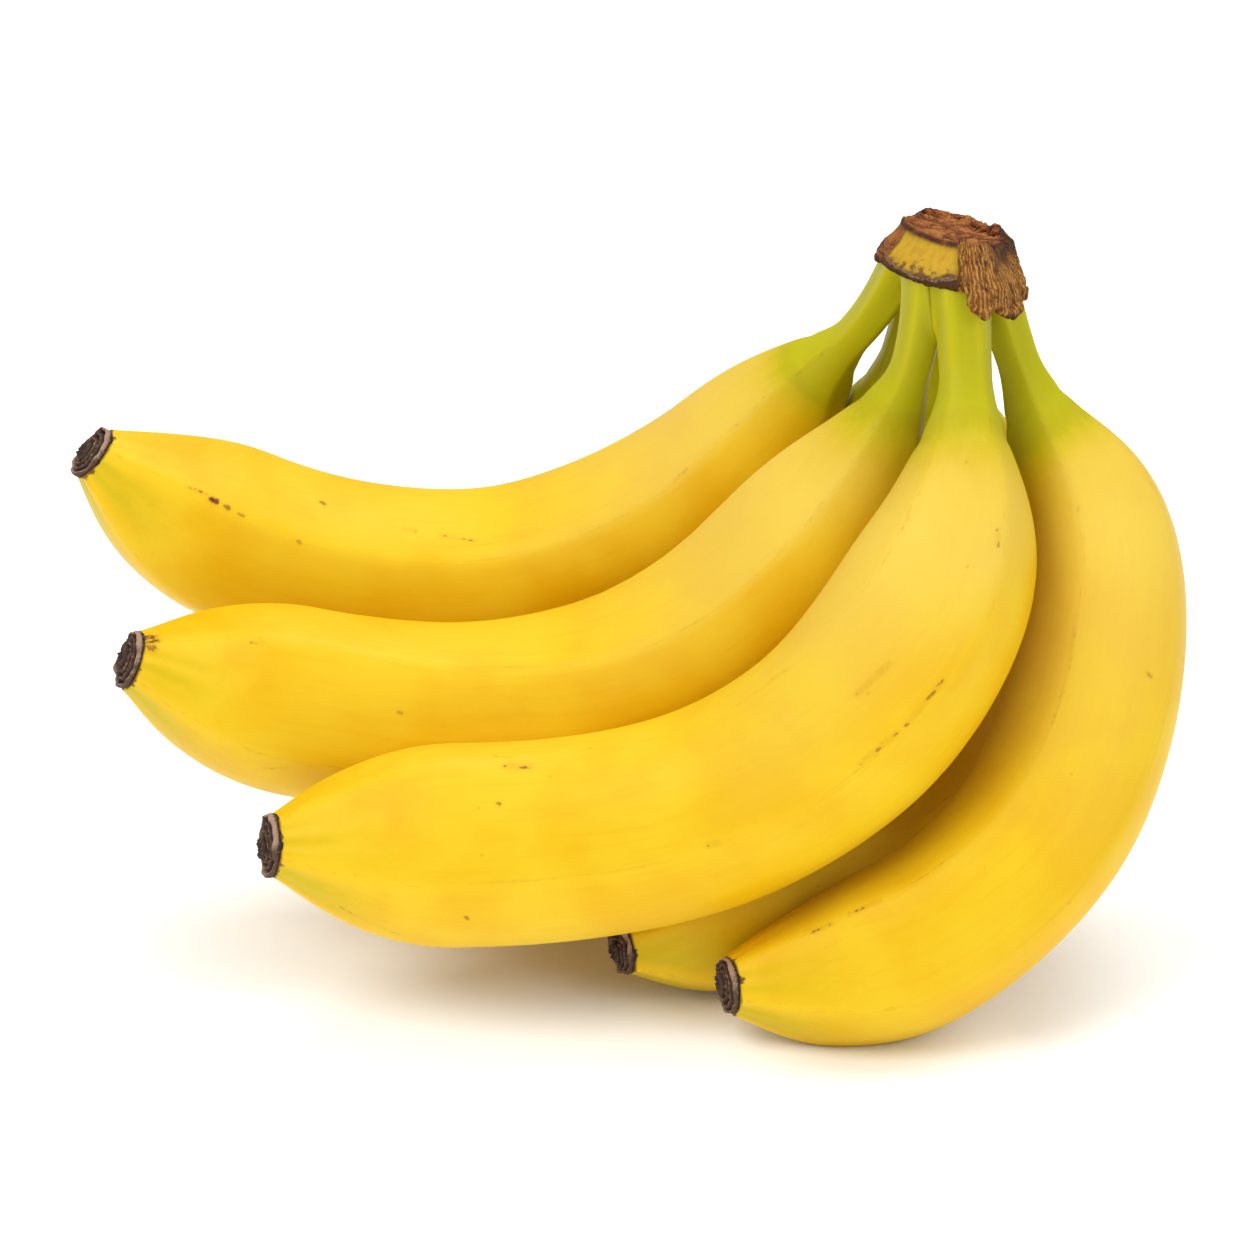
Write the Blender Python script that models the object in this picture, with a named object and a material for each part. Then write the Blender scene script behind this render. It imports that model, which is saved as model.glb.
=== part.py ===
"""A bunch of six bananas, resting on the bellies of its three lower fruits.

The crown holds the stalks at the top right. Four fruits make the front row and two the back row.
Lengths are in millimetres here and are turned into metres when a mesh is made. +Z is up, +X runs
along the bunch to the crown's side, and -Y faces the viewer.
"""
import math

import bmesh
import bpy
import numpy as np
from mathutils import Vector

MM = 0.001

# Each fruit's centre line, from inside the crown to its free end, with its thickness at the belly and
# along the stalk, the stalk's length, the width of its free end, and how far its ridges are turned.
FRUITS = {
    "banana_1": {
        "route": [(57, 28, 153), (48, 41, 135), (39, 52, 121), (26, 63, 100), (14, 68, 88), (-6, 73, 76),
                  (-31, 75, 69), (-63, 75, 72), (-90, 73, 83), (-108, 68, 98)],
        "belly": 36.8, "stalk": 8.6, "stalk_length": 37, "end": 10.8, "end_length": 40, "roll": 20,
    },
    "banana_2": {
        "route": [(58, 21, 154), (55, 22, 136), (51, 24, 123), (43, 28, 102), (26, 33, 77), (1, 36, 59),
                  (-30, 37, 52), (-58, 37, 54), (-83, 36, 60), (-98, 32, 66)],
        "belly": 38.8, "stalk": 9.2, "stalk_length": 31, "end": 11.2, "end_length": 43, "roll": 55,
    },
    "banana_3": {
        "route": [(64, 18, 154), (65, 14, 137), (65, 8, 125), (63, 0, 104), (55, -2, 84), (39, 0, 62),
                  (14, 2, 46), (-13, 3, 39), (-44, 2, 38), (-67, -3, 41)],
        "belly": 40.2, "stalk": 10.4, "stalk_length": 31, "end": 11.6, "end_length": 46, "roll": 35,
    },
    "banana_4": {
        "route": [(69, 26, 153), (76, 26, 133), (82, 25, 118), (91, 22, 102), (94, 18, 83), (92, 12, 61),
                  (83, 4, 41), (65, -2, 24), (44, -3, 14), (22, -8, 12)],
        "belly": 35.0, "stalk": 9.0, "stalk_length": 31, "end": 11.2, "end_length": 45, "roll": 10,
    },
    "banana_5": {
        "route": [(65, 35, 153), (63, 42, 129), (66, 48, 108), (76, 53, 80), (77, 53, 54), (68, 48, 32),
                  (50, 39, 19), (31, 27, 18), (16, 17, 14), (2, 10, 12)],
        "belly": 36.4, "stalk": 9.0, "stalk_length": 33, "end": 11.0, "end_length": 42, "roll": 0,
    },
    "banana_6": {
        "route": [(61, 41, 153), (55, 50, 125), (51, 57, 107), (44, 68, 84), (36, 71, 61), (21, 71, 39),
                  (2, 70, 25), (-20, 68, 18), (-44, 66, 20), (-60, 61, 27)],
        "belly": 36.4, "stalk": 9.0, "stalk_length": 37, "end": 11.0, "end_length": 42, "roll": 30,
    },
}
SHOULDER_LENGTH = 17
SHOULDER_CURVE = 1.35
END_CURVE = 2.2
ROOT_FLARE = 2.0
ROOT_FLARE_LENGTH = 5

# A peel has five soft ridges, a little sharper near both ends: depths as shares of the radius.
RIDGES = 5
RIDGE_DEPTH = 0.022
RIDGE_DEPTH_AT_ENDS = 0.05

# Rings along a fruit, points round it, and how much closer together the rings are near both ends.
STATIONS = 33
SIDES = 20
CROWDING = 0.07
ROUTE_STEPS = 160
STEPS_PER_SPAN = 24
SMOOTHING_PASSES = 60

# Gaps between fruits that press on each other, and between a fruit and what sits on its end.
TOUCH_GAP = 0.6
SEAT_GAP = 0.3
THINNEST = 0.5
HALVINGS = 10

# The crown: its outline seen from above, the heights of its underside and of its cut top.
CROWN_OUTLINE = [(49, 34), (50, 25), (56, 15), (64, 11), (72, 14), (76, 23), (75, 37), (68, 46), (57, 45)]
CROWN_CENTRE = (64, 30)
CROWN_BASE = 148
CROWN_TOP = 158
CROWN_TILT = 0.12
CROWN_SIDES = 36
# Rings of the crown: share of the height, share of the outline's size.
CROWN_RINGS = [(0.0, 0.97), (0.14, 1.03), (0.42, 0.98), (0.72, 0.88), (0.94, 0.78), (1.0, 0.70)]
CROWN_TOP_RINGS = [(1.02, 0.52), (0.92, 0.30)]
CROWN_ROUGHNESS = 0.5
COARSE_WAVES = 5
FINE_WAVES = 11

# The crown's two cut faces, the pale one on its front left and the brown one beside it: a point on
# each and the way it faces.
CROWN_CUTS = [((58, 20, 155), (-0.6, -0.74, 0.29)), ((52, 30, 155), (-0.8, -0.1, 0.6))]

# The fibrous flap: its outer face from the crown's top edge down over the third and fourth stalks.
FLAP_PLAN = [(64.5, 8), (67.5, 7.4), (71.5, 10), (74.5, 14.5), (77, 20)]
FLAP_BOTTOM = [147, 143.9, 146, 143.6, 146.5]
FLAP_TOP = 156
FLAP_LEAN = 4.5
FLAP_HANGS = 0.35
FLAP_ROWS = (0.0, FLAP_HANGS, 0.7, 1.0)
FLAP_COLUMNS = 13
FLAP_THICKNESS = 2.0

# A blossom end, turned: radius as a share of the fruit's end, and distance past it.
BLOSSOM_RINGS = [(0.72, 0.0), (0.98, 0.5), (1.06, 1.6), (0.98, 2.9), (0.80, 3.0), (0.70, 1.9), (0.52, 1.7),
                 (0.44, 2.9), (0.30, 3.0), (0.18, 2.0)]
BLOSSOM_SIDES = 18
BLOSSOM_FOLDS = 6
FOLD_ACROSS = 0.05
FOLD_ALONG = 0.12

# Points nearer than this are one point, and an edge sharper than this angle is shaded as an edge.
SAME_POINT = 0.01
SHARP_ANGLE = 50

COLOURS = {
    "peel": ((0.90, 0.63, 0.05, 1.0), 0.42),
    "crown": ((0.26, 0.13, 0.05, 1.0), 0.85),
    "blossom_end": ((0.07, 0.04, 0.03, 1.0), 0.9),
}


def make_material(name):
    """A plain Principled material in the part's own colour."""
    colour, roughness = COLOURS[name]
    material = bpy.data.materials.new(name)
    material.use_nodes = True
    shader = material.node_tree.nodes["Principled BSDF"]
    shader.inputs["Base Color"].default_value = colour
    shader.inputs["Roughness"].default_value = roughness
    shader.inputs["Metallic"].default_value = 0.0
    material.diffuse_color = colour
    return material


def smooth_line(points, steps):
    """Evenly spaced points on a smooth curve through the points, and their distance along it."""
    knots = np.array(points, float)
    knots = np.vstack([2 * knots[0] - knots[1], knots, 2 * knots[-1] - knots[-2]])
    line = []
    for before, start, end, after in zip(knots[:-3], knots[1:-2], knots[2:-1], knots[3:]):
        for t in np.linspace(0, 1, STEPS_PER_SPAN, endpoint=False):
            line.append(0.5 * (2 * start + (end - before) * t
                               + (2 * before - 5 * start + 4 * end - after) * t ** 2
                               + (3 * start - before - 3 * end + after) * t ** 3))
    line.append(knots[-2])
    line = np.array(line)
    for _ in range(SMOOTHING_PASSES):
        line[1:-1] = 0.5 * line[1:-1] + 0.25 * (line[:-2] + line[2:])
    along = np.r_[0, np.cumsum(np.linalg.norm(np.diff(line, axis=0), axis=1))]
    even = np.linspace(0, along[-1], steps)
    return np.stack([np.interp(even, along, values) for values in line.T], axis=1), even


def girth(fruit, along):
    """Radius at each distance along a fruit: stalk, shoulder, belly, then the taper to its free end."""
    stalk, belly, end = fruit["stalk"] / 2, fruit["belly"] / 2, fruit["end"] / 2
    past_stalk = np.clip(along - fruit["stalk_length"], 0, None) / SHOULDER_LENGTH
    radius = stalk + (belly - stalk) * (1 - np.exp(-past_stalk ** SHOULDER_CURVE))
    radius += ROOT_FLARE * np.exp(-along / ROOT_FLARE_LENGTH)
    to_end = np.clip((along[-1] - along) / fruit["end_length"], 0, 1)
    narrowing = end / belly
    return radius * (narrowing + (1 - narrowing) * (1 - (1 - to_end) ** END_CURVE))


def frames_along(line):
    """Unit vectors along the line, across its bend and in its bend, at each of its points."""
    ahead = np.gradient(line, axis=0)
    ahead /= np.linalg.norm(ahead, axis=1)[:, None]
    axis_of_bend = np.cross(ahead[:-1], ahead[1:]).sum(axis=0)
    across = axis_of_bend - ahead * (ahead @ axis_of_bend)[:, None]
    across /= np.linalg.norm(across, axis=1)[:, None]
    return ahead, across, np.cross(ahead, across)


def lay_out(fruit):
    """A fruit's centre line with its radius and its three directions at each point."""
    line, along = smooth_line(fruit["route"], ROUTE_STEPS)
    ahead, across, bend = frames_along(line)
    return {"line": line, "along": along, "radius": girth(fruit, along),
            "ahead": ahead, "across": across, "bend": bend}


def outside(points, layout):
    """How far each point is outside a round fruit on that layout."""
    distance = np.linalg.norm(points[:, None, :] - layout["line"][None, ::2, :], axis=2)
    return (distance - layout["radius"][None, ::2]).min(axis=1)


def press_flat(centres, directions, reach, round_reach, neighbours):
    """Draws points back towards their centre line where a neighbouring fruit is as near as their own."""
    reach = reach.copy()
    for layout in neighbours:
        low = np.full(len(reach), THINNEST)
        high = reach.copy()
        for _ in range(HALVINGS):
            middle = (low + high) / 2
            clearance = outside(centres + directions * middle[:, None], layout) - (middle - round_reach)
            low = np.where(clearance >= TOUCH_GAP, middle, low)
            high = np.where(clearance >= TOUCH_GAP, high, middle)
        clearance = outside(centres + directions * reach[:, None], layout) - (reach - round_reach)
        reach = np.where(clearance >= TOUCH_GAP, reach, low)
    return reach


def ring_places(fruit, layout, neighbours):
    """The places of a fruit's rings of points, close together where its girth changes fast."""
    share = np.linspace(0, 1, STATIONS)
    share = share - CROWDING * np.sin(2 * math.pi * share)
    pick = share * (ROUTE_STEPS - 1)
    steps = np.arange(ROUTE_STEPS)

    def at(values):
        return np.stack([np.interp(pick, steps, column) for column in values.T], axis=1)

    centre, across, bend = at(layout["line"]), at(layout["across"]), at(layout["bend"])
    radius = np.interp(pick, steps, layout["radius"])
    angle = np.arange(SIDES) * 2 * math.pi / SIDES
    directions = (across[:, None, :] * np.cos(angle)[None, :, None]
                  + bend[:, None, :] * np.sin(angle)[None, :, None]).reshape(-1, 3)
    depth = RIDGE_DEPTH + (RIDGE_DEPTH_AT_ENDS - RIDGE_DEPTH) * np.abs(2 * share - 1) ** 3
    ridges = np.cos(RIDGES * (angle - math.radians(fruit["roll"])))
    round_reach = np.repeat(radius, SIDES)
    reach = round_reach * (1 + (depth[:, None] * ridges[None, :]).ravel())
    centres = np.repeat(centre, SIDES, axis=0)
    reach = press_flat(centres, directions, reach, round_reach, neighbours)
    return (centres + directions * reach[:, None]).reshape(STATIONS, SIDES, 3)


def loft(rings):
    """A closed mesh through the rings: a circle is extruded from each ring to the next."""
    mesh = bmesh.new()
    sides = len(rings[0])
    verts = bmesh.ops.create_circle(mesh, segments=sides, radius=1)["verts"]
    for vert, place in zip(verts, rings[0]):
        vert.co = Vector(place) * MM
    edges = list(mesh.edges)
    for ring in rings[1:]:
        made = bmesh.ops.extrude_edge_only(mesh, edges=edges)["geom"]
        new_verts = [item for item in made if isinstance(item, bmesh.types.BMVert)]
        edges = [item for item in made if isinstance(item, bmesh.types.BMEdge)
                 and all(vert in new_verts for vert in item.verts)]
        for vert, place in zip(new_verts, ring):
            vert.co = Vector(place) * MM
    bmesh.ops.holes_fill(mesh, edges=mesh.edges, sides=0)
    bmesh.ops.recalc_face_normals(mesh, faces=mesh.faces)
    return mesh


def cut_away(mesh, point, facing):
    """Cuts the mesh off on the side that the plane faces, and closes the cut with a flat face."""
    geometry = list(mesh.verts) + list(mesh.edges) + list(mesh.faces)
    cut = bmesh.ops.bisect_plane(mesh, geom=geometry, plane_co=Vector(point) * MM, plane_no=facing,
                                 clear_outer=True)["geom_cut"]
    edges = [item for item in cut if isinstance(item, bmesh.types.BMEdge)]
    if edges:
        bmesh.ops.edgeloop_fill(mesh, edges=edges)


def finish_object(name, mesh, material, parent):
    """Turns the mesh into an object under the bunch's empty, shaded smooth up to its sharp edges."""
    bmesh.ops.remove_doubles(mesh, verts=mesh.verts, dist=SAME_POINT * MM)
    bmesh.ops.triangulate(mesh, faces=mesh.faces)
    bmesh.ops.recalc_face_normals(mesh, faces=mesh.faces)
    data = bpy.data.meshes.new(name)
    mesh.to_mesh(data)
    mesh.free()
    data.materials.append(material)
    data.shade_smooth()
    data.set_sharp_from_angle(angle=math.radians(SHARP_ANGLE))
    thing = bpy.data.objects.new(name, data)
    bpy.context.collection.objects.link(thing)
    thing.parent = parent
    return thing


def make_fruit(name, layouts, material, parent):
    """One banana: its stalk cut level under the crown, and its belly flat where it meets the surface."""
    neighbours = [layout for other, layout in layouts.items() if other != name]
    mesh = loft(ring_places(FRUITS[name], layouts[name], neighbours))
    cut_away(mesh, point=(0, 0, CROWN_BASE - SEAT_GAP), facing=(0, 0, 1))
    cut_away(mesh, point=(0, 0, 0), facing=(0, 0, -1))
    return finish_object(name, mesh, material, parent)


def make_blossom_end(name, fruit, layout, material, parent):
    """The dried scar on a fruit's free end: a puckered rim round a dish with a nub."""
    end, ahead = layout["line"][-1], layout["ahead"][-1]
    across, bend = layout["across"][-1], layout["bend"][-1]
    rings = []
    for share, past in BLOSSOM_RINGS:
        ring = []
        for side in range(BLOSSOM_SIDES):
            angle = side * 2 * math.pi / BLOSSOM_SIDES
            fold = math.cos(BLOSSOM_FOLDS * angle + fruit["roll"])
            radius = share * fruit["end"] / 2 * (1 + FOLD_ACROSS * fold)
            out = SEAT_GAP + past * (1 + FOLD_ALONG * fold)
            ring.append(end + ahead * out + (across * math.cos(angle) + bend * math.sin(angle)) * radius)
        rings.append(ring)
    return finish_object(name, loft(rings), material, parent)


def crown_rings():
    """Rings of the woody cushion, from its underside to its cut top, wavy like torn fibre."""
    outline, _ = smooth_line(CROWN_OUTLINE + CROWN_OUTLINE[:1], CROWN_SIDES + 1)
    centre = np.array(CROWN_CENTRE)
    outline = outline[:-1]
    rings = []
    for height, size in CROWN_RINGS + CROWN_TOP_RINGS:
        ring = []
        for side, place in enumerate(outline):
            angle = side * 2 * math.pi / CROWN_SIDES
            wave = (math.sin(COARSE_WAVES * (angle + 2 * height))
                    + 0.6 * math.sin(FINE_WAVES * (angle - height / 2)))
            rough = CROWN_ROUGHNESS * wave * min(1.0, 4 * height)
            spread = place - centre
            spread = spread * (size + rough / np.linalg.norm(spread))
            level = CROWN_BASE + (CROWN_TOP - CROWN_BASE - CROWN_TILT * spread[0]) * height + rough
            ring.append((centre[0] + spread[0], centre[1] + spread[1], level))
        rings.append(ring)
    return rings


def flap_mesh():
    """The flap, a lobed plate bent round the stalks: a strip of faces, made thick by solidify."""
    plan = np.array([(x, y, bottom) for (x, y), bottom in zip(FLAP_PLAN, FLAP_BOTTOM)], float)
    lower, _ = smooth_line(plan, FLAP_COLUMNS)
    towards = np.array(CROWN_CENTRE) - lower[:, :2]
    towards /= np.linalg.norm(towards, axis=1)[:, None]
    mesh = bmesh.new()
    columns = []
    for (x, y, bottom), (inwards_x, inwards_y) in zip(lower, towards):
        column = []
        for share in FLAP_ROWS:
            lean = FLAP_LEAN * max(0, share - FLAP_HANGS) / (1 - FLAP_HANGS)
            column.append(mesh.verts.new(Vector((x + inwards_x * lean, y + inwards_y * lean,
                                                 bottom + (FLAP_TOP - bottom) * share)) * MM))
        columns.append(column)
    for left, right in zip(columns[:-1], columns[1:]):
        for row in range(len(left) - 1):
            mesh.faces.new((left[row], right[row], right[row + 1], left[row + 1]))
    bmesh.ops.recalc_face_normals(mesh, faces=mesh.faces)
    bmesh.ops.solidify(mesh, geom=mesh.faces, thickness=FLAP_THICKNESS * MM)
    bmesh.ops.recalc_face_normals(mesh, faces=mesh.faces)
    return mesh


def make_crown(material, parent):
    """The cushion with its flap joined on."""
    cushion = loft(crown_rings())
    for point, facing in CROWN_CUTS:
        cut_away(cushion, point, facing)
    crown = finish_object("crown", cushion, material, parent)
    flap = finish_object("flap", flap_mesh(), material, parent)
    joint = crown.modifiers.new("join flap", "BOOLEAN")
    joint.operation = "UNION"
    joint.solver = "EXACT"
    joint.object = flap
    bpy.context.view_layer.update()
    shape = bpy.data.meshes.new_from_object(crown.evaluated_get(bpy.context.evaluated_depsgraph_get()))
    crown.modifiers.clear()
    crown.data = shape
    bpy.data.objects.remove(flap)
    return crown


def centre_on_origin(bunch, pieces):
    """Moves the bunch so that the middle of its box, at the surface it rests on, is the origin."""
    bpy.context.view_layer.update()
    corners = np.array([piece.matrix_world @ Vector(corner) for piece in pieces for corner in piece.bound_box])
    low, high = corners.min(axis=0), corners.max(axis=0)
    bunch.location = (-(low[0] + high[0]) / 2, -(low[1] + high[1]) / 2, -low[2])
    print("box in mm:", np.round((high - low) / MM, 1), "moved by", np.round(np.array(bunch.location) / MM, 2))


def main():
    for thing in list(bpy.data.objects):
        bpy.data.objects.remove(thing)
    bunch = bpy.data.objects.new("bunch", None)
    bpy.context.collection.objects.link(bunch)
    materials = {name: make_material(name) for name in COLOURS}
    layouts = {name: lay_out(fruit) for name, fruit in FRUITS.items()}
    pieces = [make_crown(materials["crown"], bunch)]
    for number, (name, fruit) in enumerate(FRUITS.items(), start=1):
        pieces.append(make_fruit(name, layouts, materials["peel"], bunch))
        pieces.append(make_blossom_end(f"blossom_end_{number}", fruit, layouts[name],
                                       materials["blossom_end"], bunch))
    centre_on_origin(bunch, pieces)


main()
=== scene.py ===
# %% [markdown]
# # A bunch of six bananas
#
# Six ripe bananas grow from one woody crown and rest on the bellies of the lower three. A plain
# model gives their sizes and places. This lesson dresses it: it makes each peel, each dried
# blossom end and the crown as finely as they look, and gives them materials built from nodes.

# %% Load the plain model
import math
import random

import bmesh
import bpy
import numpy as np
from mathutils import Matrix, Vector, noise
from mathutils.bvhtree import BVHTree


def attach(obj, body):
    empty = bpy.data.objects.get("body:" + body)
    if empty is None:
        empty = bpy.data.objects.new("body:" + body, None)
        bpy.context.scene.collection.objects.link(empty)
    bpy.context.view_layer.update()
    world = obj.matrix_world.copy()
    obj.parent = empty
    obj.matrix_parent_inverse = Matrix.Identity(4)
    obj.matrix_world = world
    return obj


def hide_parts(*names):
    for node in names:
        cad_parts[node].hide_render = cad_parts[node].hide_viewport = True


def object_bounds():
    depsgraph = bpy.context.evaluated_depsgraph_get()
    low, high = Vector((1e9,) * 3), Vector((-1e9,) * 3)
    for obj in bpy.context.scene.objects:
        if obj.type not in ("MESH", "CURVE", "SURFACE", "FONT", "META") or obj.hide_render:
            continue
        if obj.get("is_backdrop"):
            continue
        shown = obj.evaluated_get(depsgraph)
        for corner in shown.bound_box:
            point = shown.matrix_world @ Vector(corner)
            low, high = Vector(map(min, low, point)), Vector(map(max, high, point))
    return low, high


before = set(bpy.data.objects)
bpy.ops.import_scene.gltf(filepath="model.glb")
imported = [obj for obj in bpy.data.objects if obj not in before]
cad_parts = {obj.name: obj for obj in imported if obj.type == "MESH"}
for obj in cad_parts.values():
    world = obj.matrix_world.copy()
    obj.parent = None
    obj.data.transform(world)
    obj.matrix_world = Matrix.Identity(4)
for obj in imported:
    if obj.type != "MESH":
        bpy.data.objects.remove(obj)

model_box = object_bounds()
MM = 0.001
print("nodes of the plain model:", ", ".join(sorted(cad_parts)))

# %% [markdown]
# ## The camera
#
# The photograph was taken from a little above, with a long lens, so near and far fruits keep
# almost the same scale. A camera is easiest to place from what it looks at: a target, a distance
# and an elevation. The lens follows from the frame's width in pixels and the magnification.

# %% Camera
FRAME_PIXELS = 1254
FOCAL_PIXELS = 4000
SENSOR_WIDTH = 36
VIEW_TARGET = Vector((1.48, -10.99, 76.4)) * MM
VIEW_DISTANCE = 800 * MM
VIEW_ELEVATION = math.radians(20)

camera_data = bpy.data.cameras.new("camera")
camera_data.sensor_width = SENSOR_WIDTH
camera_data.lens = SENSOR_WIDTH * FOCAL_PIXELS / FRAME_PIXELS
camera_data.clip_start = 0.05
camera = bpy.data.objects.new("camera", camera_data)
backwards = Vector((0, -math.cos(VIEW_ELEVATION), math.sin(VIEW_ELEVATION)))
camera.location = VIEW_TARGET + backwards * VIEW_DISTANCE
camera.rotation_euler = (math.pi / 2 - VIEW_ELEVATION, 0, 0)
bpy.context.scene.collection.objects.link(camera)
bpy.context.scene.camera = camera
print(f"lens {camera_data.lens:.1f} mm at {[round(v, 3) for v in camera.location]}")

# %% [markdown]
# ## Joining nodes with Python's own signs
#
# A procedural material is a graph of small nodes, and long graphs are hard to read when each node
# and each link takes a line. Here one small class stands for the output of a node. Adding or
# multiplying two such outputs adds the node that does it, and a | b takes the larger one, so a
# pattern reads like the sentence that describes it. Numbers alone are worked out in Python and
# cost no node.

# %% One class for node outputs
class Wire:
    """The output of a node. Signs between wires add the nodes that work them out."""

    def __init__(self, tree, socket=None):
        self.tree = tree
        self.socket = socket

    def node(self, kind, settings=None, inputs=None, output=0):
        """Adds a node: its settings are set first, then the values or links of its sockets."""
        made = self.tree.nodes.new(kind)
        for name, value in (settings or {}).items():
            if name == "stops":
                while len(made.color_ramp.elements) < len(value):
                    made.color_ramp.elements.new(1.0)
                for element, (place, shade) in zip(made.color_ramp.elements, value):
                    element.position = place
                    element.color = shade
            else:
                setattr(made, name, value)
        for name, value in (inputs or {}).items():
            if isinstance(value, Wire):
                self.tree.links.new(value.socket, made.inputs[name])
            else:
                made.inputs[name].default_value = value
        return Wire(self.tree, made.outputs[output])

    def maths(self, operation, *values):
        """A Math node, or a Vector Math node where a wire carries a vector or a colour."""
        wires = [value for value in values if isinstance(value, Wire)]
        if any(wire.socket.type in {"VECTOR", "RGBA"} for wire in wires):
            spread = [value if isinstance(value, (Wire, tuple, Vector)) else (value,) * 3
                      for value in values]
            return self.node("ShaderNodeVectorMath", {"operation": operation}, dict(enumerate(spread)))
        return self.node("ShaderNodeMath", {"operation": operation}, dict(enumerate(values)))

    def __add__(self, other):
        return self.maths("ADD", self, other)

    def __sub__(self, other):
        return self.maths("SUBTRACT", self, other)

    def __rsub__(self, other):
        return self.maths("SUBTRACT", other, self)

    def __mul__(self, other):
        return self.maths("MULTIPLY", self, other)

    def __abs__(self):
        return self.maths("ABSOLUTE", self)

    def __or__(self, other):
        return self.maths("MAXIMUM", self, other)

    __radd__ = __add__
    __rmul__ = __mul__

    def part(self, axis):
        """One number of a vector: X, Y or Z."""
        return self.node("ShaderNodeSeparateXYZ", inputs={"Vector": self}, output=axis)

    def length(self):
        return self.node("ShaderNodeVectorMath", {"operation": "LENGTH"}, {0: self}, "Value")

    def ramp(self, start, end):
        """0 where the number is at start, 1 where it is at end, with soft shoulders."""
        return self.node("ShaderNodeMapRange", {"interpolation_type": "SMOOTHSTEP"},
                         {"Value": self, "From Min": start, "From Max": end})

    def clouds(self, scale, detail=3.0, roughness=0.5, output="Fac"):
        """Cloudy noise at the places that this vector gives."""
        return self.node("ShaderNodeTexNoise", inputs={"Vector": self, "Scale": scale, "Detail": detail,
                                                       "Roughness": roughness}, output=output)

    def spots(self, scale):
        """How far a place is from the nearest of many points that are strewn about."""
        return self.node("ShaderNodeTexVoronoi", {"feature": "F1"}, {"Vector": self, "Scale": scale},
                         "Distance")

    def tint(self, shade, over):
        """Lays a colour over another one, as strongly as this number says."""
        return self.node("ShaderNodeMix", {"data_type": "RGBA"}, {0: self, 6: over, 7: shade}, 2)

    def bump(self, depth, strength):
        """Directions of a surface with this relief, whose depth is in millimetres."""
        return self.node("ShaderNodeBump", inputs={"Height": self, "Distance": depth * MM,
                                                   "Strength": strength}, output="Normal")

    def place_in_mm(self):
        return self.node("ShaderNodeTexCoord", output="Object") * (1 / MM)

    def upwards(self):
        """1 where the surface faces up, 0 where it stands upright."""
        return self.node("ShaderNodeNewGeometry", output="Normal").part("Z")

    def attribute(self, name, output="Fac"):
        """What the mesh keeps under this name for each of its points."""
        return self.node("ShaderNodeAttribute", {"attribute_name": name}, output=output)


def colour(red, green, blue):
    """A colour as a picture on a screen gives it, 0 to 255, turned into Blender's linear light."""
    def linear(value):
        value = value / 255
        return value / 12.92 if value <= 0.04045 else ((value + 0.055) / 1.055) ** 2.4
    return (linear(red), linear(green), linear(blue), 1.0)


def new_material(name):
    """A material with its Principled shader and an empty wire to build its nodes from."""
    material = bpy.data.materials.new(name)
    material.use_nodes = True
    return material, material.node_tree.nodes["Principled BSDF"], Wire(material.node_tree)


def plug_in(shader, **sockets):
    """Links a wire or sets a number at the shader's socket of each name, underscores for spaces."""
    for name, value in sockets.items():
        socket = shader.inputs[name.replace("_", " ")]
        if isinstance(value, Wire):
            value.tree.links.new(value.socket, socket)
        else:
            socket.default_value = value


print("colour test, mid yellow:", [round(part, 3) for part in colour(250, 214, 60)])

# %% [markdown]
# ## Floor and light
#
# The bananas lie on a white table in a bright, even studio. The floor is a wide round sheet, so
# its edge stays out of sight from every side. It glows a little everywhere but near the middle of
# the bunch and the front contact. This glowing is painted light, which lifts the floor's shadow and
# keeps it short. Large lamps make soft shadows: the bigger a lamp is beside the object, the softer
# its shadow. The main lamp hangs at the upper left, and a white world fills the shadows.

# %% Floor
FLOOR_RADIUS = 9.0
# In metres: the middle of the bunch's shadow, and where the front right fruit touches the floor.
SHADOW_MIDDLE = (0.03, 0.005, 0.0)
CONTACT = (0.048, -0.04, 0.0)

floor_mesh = bmesh.new()
bmesh.ops.create_circle(floor_mesh, cap_ends=True, segments=96, radius=FLOOR_RADIUS)
floor_data = bpy.data.meshes.new("floor")
floor_mesh.to_mesh(floor_data)
floor_mesh.free()
floor = bpy.data.objects.new("floor", floor_data)
bpy.context.scene.collection.objects.link(floor)
floor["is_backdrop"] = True

paper, paper_shader, wire = new_material("paper_floor")
place = wire.node("ShaderNodeTexCoord", output="Object")
grain = place.clouds(240.0, 2.0)
from_bunch = ((place - SHADOW_MIDDLE) * (0.4, 1.0, 0.0)).length()
from_contact = (place - CONTACT).length()
# Painted light: the floor glows except near the bunch's shadow and front contact, lifting the shadow.
painted_floor_light = from_bunch.ramp(0.018, 0.06) * from_contact.ramp(0.006, 0.03) * 0.34
plug_in(paper_shader, Base_Color=grain.tint(colour(247, 247, 246), colour(251, 251, 250)),
        Emission_Color=painted_floor_light.tint(colour(238, 246, 255), colour(0, 0, 0)), Emission_Strength=1.0,
        Roughness=0.9, Specular_IOR_Level=0.1)
floor_data.materials.append(paper)
print("floor", FLOOR_RADIUS * 2, "m across")

# %% Light
LAMPS = {
    "main_lamp": {"place": (-0.9, -0.9, 1.5), "size": 1.0, "watts": 16.7, "shade": (1.0, 0.99, 0.98)},
    "top_lamp": {"place": (0.25, 0.35, 1.6), "size": 1.1, "watts": 14.4, "shade": (1.0, 1.0, 1.0)},
    "side_lamp": {"place": (1.0, -1.3, 0.9), "size": 1.0, "watts": 6.8, "shade": (1.0, 1.0, 1.0)},
}
WORLD_STRENGTH = 0.437
WORLD_SHADE = (0.9, 0.95, 1.0, 1.0)

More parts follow.
